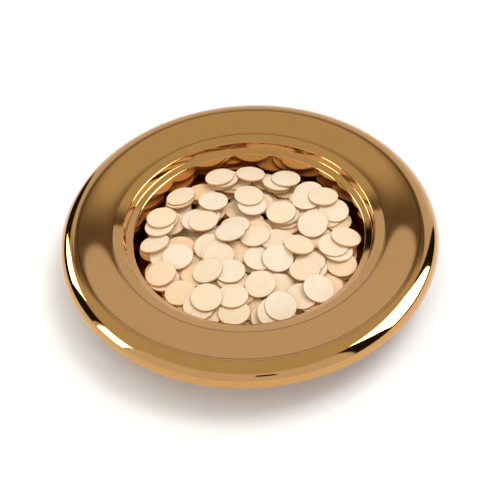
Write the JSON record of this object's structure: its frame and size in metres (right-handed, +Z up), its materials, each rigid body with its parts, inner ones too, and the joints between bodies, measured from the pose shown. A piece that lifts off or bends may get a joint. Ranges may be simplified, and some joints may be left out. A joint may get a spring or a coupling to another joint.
{
  "type": "stacking communion bread plate",
  "caption": "Round gold-tone communion bread plate with a wide dished rim, a deep well, a stacking ledge and foot ring, filled with loose round altar bread wafers.",
  "frame": {"origin": "middle of the foot ring's resting face, on the table", "axes": "+Z up along the plate's axis of revolution; the plate is round, so +X and +Y are any two square directions"},
  "size_m": [0.311, 0.311, 0.0501],
  "materials": {
    "polished_gold_metal": "mirror polished",
    "wafer_bread": "matte"
  },
  "bodies": {
    "plate": {"plate_pan": "polished_gold_metal", "stacking_foot_ring": "polished_gold_metal"},
    "wafers": {"wafer_bed": "wafer_bread", "wafer_01": "wafer_bread", "wafer_02": "wafer_bread", "wafer_03": "wafer_bread", "wafer_04": "wafer_bread", "wafer_05": "wafer_bread", "wafer_06": "wafer_bread", "wafer_07": "wafer_bread", "wafer_08": "wafer_bread", "wafer_09": "wafer_bread", "wafer_10": "wafer_bread", "wafer_11": "wafer_bread", "wafer_12": "wafer_bread", "wafer_13": "wafer_bread", "wafer_14": "wafer_bread", "wafer_15": "wafer_bread", "wafer_16": "wafer_bread", "wafer_17": "wafer_bread", "wafer_18": "wafer_bread", "wafer_19": "wafer_bread", "wafer_20": "wafer_bread", "wafer_21": "wafer_bread", "wafer_22": "wafer_bread", "wafer_23": "wafer_bread", "wafer_24": "wafer_bread", "wafer_25": "wafer_bread", "wafer_26": "wafer_bread", "wafer_27": "wafer_bread", "wafer_28": "wafer_bread", "wafer_29": "wafer_bread", "wafer_30": "wafer_bread", "wafer_31": "wafer_bread", "wafer_32": "wafer_bread", "wafer_33": "wafer_bread", "wafer_34": "wafer_bread", "wafer_35": "wafer_bread", "wafer_36": "wafer_bread", "wafer_37": "wafer_bread", "wafer_38": "wafer_bread", "wafer_39": "wafer_bread", "wafer_40": "wafer_bread", "wafer_41": "wafer_bread", "wafer_42": "wafer_bread", "wafer_43": "wafer_bread", "wafer_44": "wafer_bread", "wafer_45": "wafer_bread", "wafer_46": "wafer_bread", "wafer_47": "wafer_bread", "wafer_48": "wafer_bread", "wafer_49": "wafer_bread", "wafer_50": "wafer_bread", "wafer_51": "wafer_bread", "wafer_52": "wafer_bread", "wafer_53": "wafer_bread", "wafer_54": "wafer_bread", "wafer_55": "wafer_bread", "wafer_56": "wafer_bread", "wafer_57": "wafer_bread"}
  },
  "joints": [
    {"name": "wafer_lift_out", "type": "slide", "parent": "plate", "child": "wafers", "axis": [0, 0, 1], "range_m": [0, 0.06]}
  ]
}
